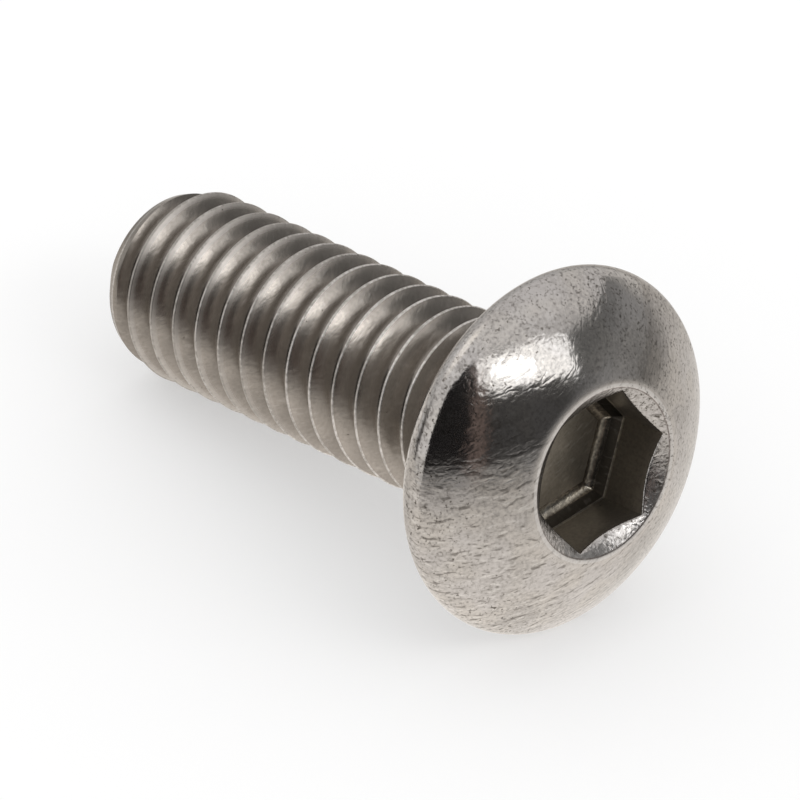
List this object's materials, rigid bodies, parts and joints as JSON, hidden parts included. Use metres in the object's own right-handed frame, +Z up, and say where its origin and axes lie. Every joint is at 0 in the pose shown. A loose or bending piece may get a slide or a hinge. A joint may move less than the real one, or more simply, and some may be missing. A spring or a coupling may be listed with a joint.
{
  "type": "button head socket screw",
  "caption": "Domed button head screw with a countersunk hexagon socket and a right-hand thread along its whole shank to a chamfered tip, lying on its rim and thread.",
  "frame": {"origin": "on the floor, under the middle of the box that the lying screw fills", "axes": "+X along the floor towards the head, +Z up"},
  "size_m": [0.0098, 0.0056, 0.0055],
  "materials": {
    "stainless": "bright stainless steel with a fine pitted, forged surface"
  },
  "bodies": {
    "root": {"screw": "stainless"}
  },
  "joints": []
}
